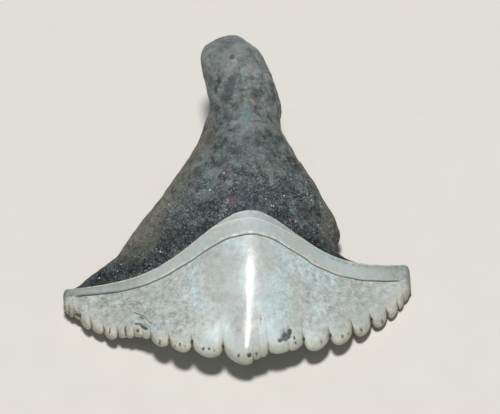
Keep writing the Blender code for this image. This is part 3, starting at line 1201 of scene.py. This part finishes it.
    def banding(self, g: Graph, color: Wire, across: Wire, groove: Wire, outer: Wire) -> Wire:
        """Band over the crown's colour, with its pale lip, second step and upper edge, and painted
        highlights on the lip, in glints beside the peak and along the upper edge.

        Args:
            g: the material's nodes.
            color: the colour so far.
            across: place across.
            groove: distance from the groove.
            outer: 1 on the outer face and 0 on the inner.

        Returns:
            The colour with the band on it.
        """
        rim = g.trait("rim")
        soft, fine = g.noise(1.4, 3.0, 0.6), g.noise(6.0, 3.0, 0.65)
        base = g.mix(soft.ramp(0.42, 0.62) * self.blush_share, self.band, self.blush)
        # Painted shade: the band's colour darkens towards both ends
        band_end_shade = 1.0 - across.ramp(*self.band_shade_left) * 0.42 - across.ramp(*self.band_shade_right) * 0.36
        base = g.shade(base, band_end_shade * (0.75 + fine * 0.5))
        on_band = groove.ramp(0.0, 0.04)
        color = g.mix(on_band, color, base)
        # Pale lip beside the groove: its cream colour, with a painted highlight on its rounded edge
        # that is brightest between the band's sides
        lip = groove.ramp(*self.lip_start) * groove.ramp(*self.lip_stop) * outer
        lip = lip * (0.3 + fine.ramp(0.4, 0.6) * 0.7)
        bright = across.ramp(*self.lip_left) * across.ramp(*self.lip_right)
        color = g.mix(lip * (0.12 + bright * 0.65), color, self.lip)
        # Painted highlight: white glints on the lip beside the peak
        near = abs(across - self.peak_x).ramp(1.6, 1.0) * groove.ramp(0.1, 0.05)
        color = g.mix(lip * fine.ramp(0.56, 0.64) * near, color, self.glint)
        hump = (across - self.peak_x) * 0.5
        hump = 1.0 - hump * hump
        step = rim + hump * self.step_depth
        color = g.shade(color, 1.0 - step.ramp(*self.step_wall) * hump.ramp(0.0, 0.2) * 0.14)
        crest = abs(step).ramp(*self.step_width) * hump.ramp(0.0, 0.15)
        color = g.mix(crest * self.step_share, color, self.lip)
        # Painted highlight along the band's upper edge, in the lip's colour
        edge = fine.ramp(0.35, 0.55) * (0.65 + across.ramp(-2.0, -4.0) * 0.3)
        color = g.mix(rim.ramp(*self.edge_width) * edge, color, self.lip)
        streak = rim.ramp(-0.26, -0.17) * rim.ramp(-0.05, -0.11)
        streak = streak * g.noise(5.5, 3.0, 0.65).ramp(0.38, 0.54)
        worn = across.ramp(*self.streak_left) + across.ramp(*self.streak_right) * 0.75
        return g.mix(streak * worn * on_band * self.streak_share, color, self.weathered)

    def weathering(self, g: Graph, color: Wire, across: Wire, groove: Wire, outer: Wire) -> Wire:
        """Dirty ends of the crown, and the dark line of the groove, which is dirt in the crease and
        painted shade.

        Args:
            g: the material's nodes.
            color: the colour so far.
            across: place across.
            groove: distance from the groove.
            outer: 1 on the outer face and 0 on the inner.

        Returns:
            The colour with both on it.
        """
        ends = across.ramp(*self.end_left) + across.ramp(*self.end_right) * groove.ramp(-0.6, 0.0)
        ends = ends * g.noise(7.0, 4.0, 0.7).ramp(0.42, 0.62)
        color = g.mix(ends * self.ends_share, color, self.dirt_and_shade)
        # Dark line of the groove: dirt in the crease and painted shade
        line = abs(groove + 0.002).ramp(*self.line_width) * outer
        line = line * (0.5 + g.noise(6.0, 3.0, 0.65) * 0.7)
        line = line * across.ramp(*self.line_left) * across.ramp(*self.line_right)
        return g.mix(line.least(self.line_share), color, self.groove)

    def gloss(self, across: Wire, past: Wire, groove: Wire, grain: Wire) -> Wire:
        """Weight of the clear coat: the crown's face about the keel, narrower at its foot.

        Args:
            across: place across.
            past: distance from the cutting edge.
            groove: distance from the groove.
            grain: sum of the fine clouds and specks.

        Returns:
            The weight.
        """
        near = abs(across - self.gloss_x)
        coat = past.ramp(0.15, 0.5) * groove.ramp(0.0, -0.1) * near.ramp(1.7, 0.8)
        coat = coat * (1.0 - past.ramp(1.3, 0.5) * near.ramp(0.3, 0.8) * 0.75)
        return coat * self.coat * (0.5 + grain.ramp(0.85, 1.1) * 0.6)


@dataclass(frozen=True)
class DentineFinish:
    """Matte blue-black to grey root, clouded and flecked, stained brown, lilac and teal, with
    painted glints.
    """

    dark: Colour = (0.036, 0.041, 0.045)
    middle: Colour = (0.088, 0.102, 0.099)
    light: Colour = (0.182, 0.198, 0.188)
    olive: Colour = (0.155, 0.153, 0.12)
    teal: Colour = (0.10, 0.15, 0.152)
    lilac: Colour = (0.15, 0.145, 0.18)
    brown: Colour = (0.10, 0.072, 0.05)
    salt: Colour = (0.30, 0.34, 0.34)
    crystal_glint: Colour = (0.9, 0.95, 0.93)
    roughness: float = 0.74
    ior: float = 1.45
    unevenness: float = 0.09
    ragged: float = 0.08
    # Most that each layer of colour covers
    teal_share: float = 0.5
    lilac_share: float = 0.6
    brown_share: float = 0.5
    olive_share: float = 0.85
    darkest: float = 0.3
    # Places along between which an effect grows
    middle_from: Span = (1.4, 4.0)
    light_from: Span = (3.8, 9.0)
    lilac_from: Span = (3.0, 7.0)
    stem_tip: Span = (7.6, 9.2)
    low: Span = (5.5, 2.5)
    crystal_glints_below: Span = (4.6, 3.0)
    # Places across, and distances from the rim
    flank_left: Span = (-1.7, -3.4)
    flank_right: Span = (3.0, 5.8)
    flank_from: Span = (0.3, 0.9)
    flank_below: Span = (6.8, 5.2)
    salt_left: Span = (-6.0, -2.5)
    mark_edge: Span = (1.15, 0.45)

    def dress(self, marks: Sequence[Mark]) -> bpy.types.Material:
        """Builds the material.

        Args:
            marks: stained places.

        Returns:
            The dentine.
        """
        g = Graph("dentine")
        y, across = g.axis(1), g.trait("across")
        broad, blotch = g.noise(0.8, 3.0, 0.6), g.noise(2.4, 4.0, 0.66)
        lump, fleck = g.noise(6.0, 3.0, 0.65), g.noise(15.0, 2.0, 0.6)
        low, tip = y.ramp(*self.low), y.ramp(*self.stem_tip)
        color = self.hues(g, y, broad, blotch)
        flank = self.flank(across + (broad + blotch - 1.0) * 3.0, g.trait("rim"), y)
        color = g.mix(flank * self.olive_share, color, self.olive)
        calm = (1.0 - flank * 0.5) * (1.0 - tip * 0.5)
        patch = g.noise(1.2, 2.0, 0.5, g.vector("ADD", {0: g.place, 1: (3.0, 11.0, 2.0)}))
        tone = (patch - 0.5) * 2.0 + (blotch - 0.5) * 3.6 + (lump - 0.5) * (2.2 + low * 0.8)
        tone = tone + (fleck - 0.5) * (0.6 + low * 1.8)
        color = g.shade(color, (1.0 + tone * calm + tip * 0.14).most(self.darkest))
        for mark in marks:
            gap = g.scar_gap(mark.place, g.ragged(self.ragged))
            color = g.mix(gap.ramp(*self.mark_edge) * mark.place.dark, color, mark.colour)
        near = g.noise(1.7, 3.0, 0.6).ramp(0.4, 0.58) * low
        salt = (0.08 + low * 0.15 + near * 0.6) * (0.35 + across.ramp(*self.salt_left) * 0.65)
        color = g.mix(fleck.ramp(0.56, 0.68) * calm * salt, color, self.salt)
        # Painted highlights: rare white glints of crystal faces, towards the crown
        color = g.mix(self.crystal_glints(g) * y.ramp(*self.crystal_glints_below) * calm, color, self.crystal_glint)
        height = (blotch * 0.35 + lump * 0.45 + fleck * 0.2) * (0.5 + low * 0.5)
        g.fill(g.shader, {
            "Base Color": color, "Roughness": self.roughness - fleck.ramp(0.5, 0.7) * 0.2,
            "IOR": self.ior, "Normal": g.bump(height, self.unevenness),
        })
        return g.material

    def hues(self, g: Graph, y: Wire, broad: Wire, blotch: Wire) -> Wire:
        """Colour that lightens towards the stem, tinted teal, lilac and brown in clouds.

        Args:
            g: the material's nodes.
            y: place along.
            broad: broad clouds.
            blotch: smaller clouds.

        Returns:
            The colour.
        """
        rise = y + (broad - 0.5) * 3.6
        color = g.mix(rise.ramp(*self.middle_from), self.dark, self.middle)
        color = g.mix(rise.ramp(*self.light_from), color, self.light)
        hue = g.noise(2.6, 3.0, 0.6, g.vector("ADD", {0: g.place, 1: (7.0, 3.0, 5.0)}))
        color = g.mix(hue.ramp(0.53, 0.62) * self.teal_share, color, self.teal)
        lilac = hue.ramp(0.47, 0.36) * self.lilac_share * y.ramp(*self.lilac_from)
        color = g.mix(lilac, color, self.lilac)
        brown = blotch.ramp(0.56, 0.66) * broad.ramp(0.42, 0.55)
        return g.mix(brown * self.brown_share, color, self.brown)

    def flank(self, across: Wire, rim: Wire, y: Wire) -> Wire:
        """Smooth olive sides of the root, along the left outline and fainter along the right."""
        sides = across.ramp(*self.flank_left).most(across.ramp(*self.flank_right) * 0.6)
        return sides * rim.ramp(*self.flank_from) * y.ramp(*self.flank_below)

    def crystal_glints(self, g: Graph) -> Wire:
        """Painted glints of rare crystal faces: cells whose seeded number is near 1.

        Args:
            g: the material's nodes.

        Returns:
            The share that they cover.
        """
        cells = {"Vector": g.place, "Scale": 13.0}
        color = g.node("ShaderNodeTexVoronoi", {"feature": "F1"}, cells, "Color")
        pick = g.node("ShaderNodeSeparateColor", {}, {0: color}, 0)
        gap = g.node("ShaderNodeTexVoronoi", {"feature": "F1"}, cells, "Distance")
        return pick.ramp(0.985, 0.992) * gap.ramp(0.45, 0.2)


@dataclass(frozen=True)
class FloorFinish:
    """Plain pale board with a faint unevenness of tone."""

    pale: Colour = (0.74, 0.71, 0.655)
    dusty: Colour = (0.5, 0.46, 0.4)
    dust_share: float = 0.06
    roughness: float = 0.8

    def dress(self) -> bpy.types.Material:
        """Builds the material.

        Returns:
            The board's material.
        """
        g = Graph("floor")
        dust = g.noise(0.6, 3.0).ramp(0.3, 0.7) * self.dust_share
        color = g.mix(dust, self.pale, self.dusty)
        g.fill(g.shader, {"Base Color": color, "Roughness": self.roughness})
        return g.material


@dataclass
class Tooth:
    """The whole tooth: crown, band and root as one closed mesh."""

    comb: Comb = field(default_factory=Comb)
    groove: Groove = field(default_factory=Groove)
    band: Band = field(default_factory=Band)
    crown: Crown = field(default_factory=Crown)
    root: Root = field(default_factory=Root)
    relief: Relief = field(default_factory=Relief)
    # Rows of scars: X and Y of the start, of the end unless it is a point, radius, depth, darkness
    # Openings of the fine tubes at the lobes' tips, two or three to a lobe
    tubules: tuple = (
        (-3.45, -2.82, 0.045, 0.03, 0.45), (-3.24, -2.94, -3.24, -2.98, 0.05, 0.04, 0.8),
        (-2.65, -3.26, 0.05, 0.03, 0.6), (-2.42, -3.3, -2.42, -3.26, 0.055, 0.04, 0.85),
        (-2.21, -3.37, 0.045, 0.03, 0.5), (-1.5, -3.57, 0.065, 0.04, 0.9),
        (-1.26, -3.61, 0.065, 0.04, 0.9), (-1.05, -3.66, 0.05, 0.03, 0.5),
        (-0.09, -3.97, 0.06, 0.04, 0.85), (0.32, -4.0, 0.37, -3.98, 0.075, 0.05, 1.0),
        (0.64, -3.91, 0.055, 0.04, 0.8), (0.92, -2.64, 0.05, 0.02, 0.55),
        (2.2, -3.28, 2.2, -3.22, 0.05, 0.04, 0.9), (2.24, -3.43, 0.05, 0.04, 0.8),
        (3.28, -3.26, 3.29, -3.22, 0.055, 0.04, 0.65), (4.15, -2.95, 4.16, -2.88, 0.045, 0.04, 0.8),
        (4.41, -2.69, 0.045, 0.03, 0.6), (4.93, -2.46, 4.93, -2.41, 0.05, 0.04, 0.8),
        (5.79, -1.89, 5.82, -1.82, 0.045, 0.03, 0.7),
    )
    # Heads of the clefts, dented and painted dark: dirt and painted shade
    heads: tuple = (
        (-2.86, -2.92, -2.86, -2.94, 0.05, 0.03, 0.7),
        (-1.93, -3.16, -1.93, -3.18, 0.05, 0.03, 0.75), (-0.7, -3.47, -0.7, -3.49, 0.05, 0.03, 0.5),
        (2.58, -3.17, 2.58, -3.2, 0.055, 0.04, 0.8), (3.67, -2.85, 3.66, -2.9, 0.055, 0.04, 0.75),
        (5.37, -1.82, 5.36, -1.87, 0.055, 0.04, 0.8), (6.05, -1.5, 6.04, -1.54, 0.05, 0.04, 0.75),
    )
    # Slits and dark chips of the comb, left to right
    slits: tuple = (
        (-6.57, -0.78, -6.4, -0.92, 0.05, 0.05, 0.9),
        (-5.22, -1.77, -5.24, -1.95, 0.035, 0.04, 0.75),
        (-4.6, -1.88, -4.6, -2.14, 0.035, 0.05, 0.9),
        (-4.11, -2.18, -4.09, -2.21, 0.065, 0.05, 0.85),
        (-4.16, -1.86, -3.98, -1.92, 0.055, 0.05, 0.95),
        (-3.93, -2.02, -3.76, -2.22, 0.075, 0.06, 0.95),
        (-3.99, -1.53, -3.85, -1.67, 0.03, 0.03, 0.85),
        (-4.21, -1.26, -3.84, -1.55, 0.028, 0.02, 0.7),
        (-3.84, -1.55, -3.52, -2.03, 0.028, 0.02, 0.65),
        (2.03, -2.96, 1.96, -3.2, 0.11, 0.05, 0.95), (1.85, -3.18, 1.81, -3.28, 0.17, 0.06, 0.92),
        (1.7, -3.34, 1.6, -3.44, 0.09, 0.05, 0.85),
    )
    # Pale flaked places beside the slits
    chips: tuple = (
        (-4.02, -1.6, -3.85, -1.72, 0.085, 0.02, 0.55),
        (-3.84, -2.08, -3.7, -2.24, 0.11, 0.02, 0.6), (1.8, -2.98, 1.84, -3.04, 0.08, 0.02, 0.5),
    )
    # Stains of the root: a scar with no depth, and its colour
    root_marks: tuple = (
        ((-0.02, 2.99, 0.17, 0.0, 0.55), (0.26, 0.27, 0.23)),
        ((1.69, 3.5, 1.66, 2.95, 0.11, 0.0, 0.5), (0.25, 0.26, 0.22)),
        ((-0.92, 3.49, -0.55, 3.61, 0.2, 0.0, 0.5), (0.13, 0.18, 0.19)),
        ((0.02, 4.43, 0.47, 4.38, 0.16, 0.0, 0.65), (0.04, 0.045, 0.055)),
        ((-1.41, 3.67, -1.26, 3.49, 0.15, 0.0, 0.6), (0.045, 0.045, 0.05)),
        ((-0.06, 3.72, -0.23, 3.42, 0.13, 0.0, 0.6), (0.07, 0.052, 0.048)),
        ((0.2, 2.42, 0.6, 2.51, 0.34, 0.0, 0.6), (0.035, 0.045, 0.06)),
        ((-1.27, 2.65, -0.68, 2.64, 0.22, 0.0, 0.45), (0.12, 0.155, 0.175)),
        ((2.22, 3.18, 2.28, 2.76, 0.14, 0.0, 0.5), (0.04, 0.042, 0.045)),
        ((0.01, 6.3, 0.06, 5.86, 0.17, 0.0, 0.5), (0.06, 0.06, 0.065)),
        ((0.02, 6.95, 0.2, 7.4, 0.33, 0.0, 0.6), (0.062, 0.06, 0.062)),
        ((0.2, 7.4, 0.55, 7.8, 0.2, 0.0, 0.55), (0.075, 0.075, 0.08)),
        ((1.15, 6.75, 1.32, 6.66, 0.13, 0.0, 0.6), (0.12, 0.09, 0.065)),
        ((0.77, 5.8, 0.85, 6.25, 0.25, 0.0, 0.55), (0.14, 0.23, 0.23)),
        ((0.38, 8.64, 0.13, 0.0, 0.8), (0.05, 0.06, 0.058)),
        ((-0.8, 5.15, -0.72, 5.45, 0.16, 0.0, 0.65), (0.085, 0.06, 0.03)),
        ((-1.0, 2.75, -0.55, 3.2, 0.2, 0.0, 0.5), (0.14, 0.19, 0.185)),
        ((-0.1, 2.2, 0.12, 2.3, 0.12, 0.0, 0.45), (0.16, 0.10, 0.07)),
        ((-0.5, 3.9, -0.1, 4.1, 0.2, 0.0, 0.6), (0.045, 0.048, 0.05)),
        ((1.2, 4.1, 1.6, 3.4, 0.18, 0.0, 0.45), (0.15, 0.17, 0.165)),
    )

    @staticmethod
    def scars(*rows: tuple) -> list[Scar]:
        """Scars of a table's rows."""
        return [Scar.of(*row) for row in rows]

    def patches(self) -> tuple[Patch, Patch]:
        """Fine rows up to the band's foot, and the root's rows on every other column.

        Returns:
            Both patches.
        """
        columns = self.comb.columns()
        parts = [
            self.crown.patch(columns, self.groove, self.band, self.comb),
            self.band.patch(columns, self.groove, self.comb),
            self.root.patch(columns, self.root.foot_shares, self.groove, self.band, self.comb),
        ]
        names = Patch.__dataclass_fields__
        fine = Patch(**{n: np.vstack([getattr(p, n) for p in parts]) for n in names})
        shares = self.root.shares()
        return fine, self.root.patch(columns.every(2), shares, self.groove, self.band, self.comb)

    @staticmethod
    def rings(patch: Patch) -> tuple[Array, dict[str, Array]]:
        """Closed rings: along the upper face to the right, then back along the lower face.

        Args:
            patch: rows of the surface.

        Returns:
            The rings' points, and each trait on them with the face among them.
        """
        bottom = np.maximum(patch.bottom, 0.0)
        upper = np.stack([patch.x, patch.y, np.maximum(patch.top, bottom)], axis=2)
        lower = np.stack([patch.x, patch.y, bottom], axis=2)[:, -2:0:-1]
        traits = {n: np.hstack([v, v[:, -2:0:-1]]) for n, v in patch.traits().items()}
        inner = np.zeros(upper.shape[:2]), np.ones(lower.shape[:2])
        return np.hstack([upper, lower]), {**traits, "inner": np.hstack(inner)}

    @staticmethod
    def strips(index: Array) -> Array:
        """Quads between neighbouring rings of an index grid."""
        after = np.roll(index, -1, axis=1)
        return np.stack([index[:-1], after[:-1], after[1:], index[1:]], axis=2).reshape(-1, 4)

    def surface(self) -> tuple[Array, dict[str, Array], list[Array], int]:
        """Points, traits and faces of the closed surface.

        The first ring's lower half uses its upper half's points, which closes the cutting edge.
        A row of five-sided faces takes the fine rings to the root's, and a fan closes the tip.

        Returns:
            Points, traits, blocks of faces from the edge to the tip, and the count of enamel
            faces, which are all of the fine ones but the last strip behind the rim.
        """
        (fine, fine_traits), (coarse, coarse_traits) = (self.rings(p) for p in self.patches())
        count = fine.shape[1]
        half = count // 2
        edge = np.concatenate([np.arange(half + 1), np.arange(half - 1, 0, -1)])
        index = np.vstack([edge, half + 1 + np.arange((len(fine) - 1) * count).reshape(-1, count)])
        start = index[-1, -1] + 1
        far = start + np.arange(len(coarse) * half).reshape(-1, half)
        near = index[-1]
        after = np.roll(far[0], -1)
        joint = np.stack([near[::2], near[1::2], np.roll(near, -2)[::2], after, far[0]], axis=1)
        tip = far[-1, -1] + 1
        fan = np.stack([far[-1], np.roll(far[-1], -1), np.full(half, tip)], axis=1)
        flat = [fine[0, :half + 1], fine[1:].reshape(-1, 3), coarse.reshape(-1, 3), [self.root.tip]]
        traits = {}
        for name, value in fine_traits.items():
            last = coarse_traits[name]
            parts = [value[0, :half + 1], value[1:].ravel(), last.ravel(), [last[-1].mean()]]
            traits[name] = np.concatenate(parts)
        near_strips = self.strips(index)
        enamel = len(near_strips) - count
        return np.vstack(flat), traits, [near_strips, joint, self.strips(far), fan], enamel

    def build(self) -> bpy.types.Object:
        """Makes the tooth's mesh, presses its relief in and dresses it.

        Returns:
            The tooth.
        """
        points, traits, blocks, enamel = self.surface()
        mesh = bpy.data.meshes.new("fossil_tooth")
        mesh.from_pydata(points.tolist(), [], [f for block in blocks for f in block.tolist()])
        normals = np.zeros(len(points) * 3, dtype=np.float32)
        mesh.vertex_normals.foreach_get("vector", normals)
        pits, chips = self.scars(*self.tubules, *self.heads, *self.slits), self.scars(*self.chips)
        shift = self.relief.shift(points, traits, pits + chips)
        points = points + normals.reshape(-1, 3) * shift[:, None]
        points = (points - (0.0, PLAN_MIDDLE_Y, 0.0)) * MM
        low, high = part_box("tooth")
        points = np.clip(points, np.array(low), np.array(high))
        mesh.vertices.foreach_set("co", points.astype(np.float32).ravel())
        for name, value in traits.items():
            held = mesh.attributes.new(name, "FLOAT", "POINT")
            held.data.foreach_set("value", value.astype(np.float32))
        mesh.materials.append(EnamelFinish().dress(pits, chips))
        marks = [Mark(Scar.of(*place), colour) for place, colour in self.root_marks]
        mesh.materials.append(DentineFinish().dress(marks))
        tissue = np.full(len(mesh.polygons), Tissue.DENTINE.value, dtype=np.int32)
        tissue[:enamel] = Tissue.ENAMEL.value
        mesh.polygons.foreach_set("material_index", tissue)
        mesh.shade_smooth()
        mesh.update()
        return put("fossil_tooth", mesh)


@dataclass
class Studio:
    """Pale floor, one soft lamp nearly overhead, a weak fill and the camera. Metres."""

    floor_half: float = 0.6
    floor_gap: float = 2e-6
    lamp_distance: float = 0.5
    lamp_angle: float = 10.0
    lamp_tilt: float = 5.0
    lamp_power: float = 2.3
    fill: Colour = (0.80, 0.86, 0.92)
    fill_strength: float = 0.16
    elevation: float = 54.0
    roll: float = 3.5
    distance: float = 0.6
    frame_width: float = 0.02029
    sensor: float = 36.0
    clip_start: float = 0.001
    aim_across: float = 0.000737
    aim_up: float = 0.001283
    aim_depth: float = 0.002045

    def build(self) -> None:
        """Lays the floor, hangs the lamp, sets the fill and the camera."""
        self.floor()
        self.lamp()
        self.world()
        self.camera()

    def floor(self) -> None:
        """Square floor just under the tooth, plain and pale."""
        half = self.floor_half
        corners = [(-half, -half, 0.0), (half, -half, 0.0), (half, half, 0.0), (-half, half, 0.0)]
        mesh = bpy.data.meshes.new("floor")
        mesh.from_pydata(corners, [], [(0, 1, 2, 3)])
        mesh.materials.append(FloorFinish().dress())
        floor = put("floor", mesh)
        floor.location.z = -self.floor_gap

    def lamp(self) -> None:
        """Round soft lamp over the tooth, leaning a little towards the camera."""
        data = bpy.data.lights.new("lamp", "AREA")
        data.shape = "DISK"
        data.size = 2 * self.lamp_distance * math.tan(math.radians(self.lamp_angle / 2))
        data.energy = self.lamp_power
        lamp = put("lamp", data)
        lean = math.radians(self.lamp_tilt)
        lamp.location.y = -self.lamp_distance * math.sin(lean)
        lamp.location.z = self.lamp_distance * math.cos(lean)
        lamp.rotation_euler.x = -lean

    def world(self) -> None:
        """Even pale fill from all round."""
        world = bpy.data.worlds.new("studio")
        world.use_nodes = True
        background = world.node_tree.nodes["Background"]
        background.inputs["Color"].default_value = (*self.fill, 1.0)
        background.inputs["Strength"].default_value = self.fill_strength
        bpy.context.scene.world = world
        bpy.context.scene.view_settings.view_transform = "Standard"

    def camera(self) -> None:
        """Camera in front and above, rolled, with a long lens that frames the tooth."""
        rise, roll = math.radians(self.elevation), math.radians(self.roll)
        right0 = np.array([1.0, 0.0, 0.0])
        up0 = np.array([0.0, math.sin(rise), math.cos(rise)])
        back = np.array([0.0, -math.cos(rise), math.sin(rise)])
        right = math.cos(roll) * right0 - math.sin(roll) * up0
        up = math.sin(roll) * right0 + math.cos(roll) * up0
        place = self.aim_across * right0 + self.aim_up * up0
        place = place + (self.aim_depth + self.distance) * back
        data = bpy.data.cameras.new("camera")
        data.sensor_width = self.sensor
        data.lens = self.sensor * self.distance / self.frame_width
        data.clip_start = self.clip_start
        camera = put("camera", data)
        matrix = np.eye(4)
        matrix[:3, 0], matrix[:3, 1], matrix[:3, 2], matrix[:3, 3] = right, up, back, place
        camera.matrix_world = Matrix(matrix.tolist())
        bpy.context.scene.camera = camera


def main() -> None:
    """Builds the tooth and its studio, and reports each piece."""
    logging.basicConfig(level=logging.INFO, format="%(message)s")
    tooth = Tooth().build()
    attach(tooth, "root")
    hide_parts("tooth")
    triangles = sum(len(face.vertices) - 2 for face in tooth.data.polygons)
    log.info("%s: %d points, %d triangles", tooth.name, len(tooth.data.vertices), triangles)
    Studio().build()
    log.info("studio: floor, lamp, fill and camera")


if __name__ == "__main__":
    main()
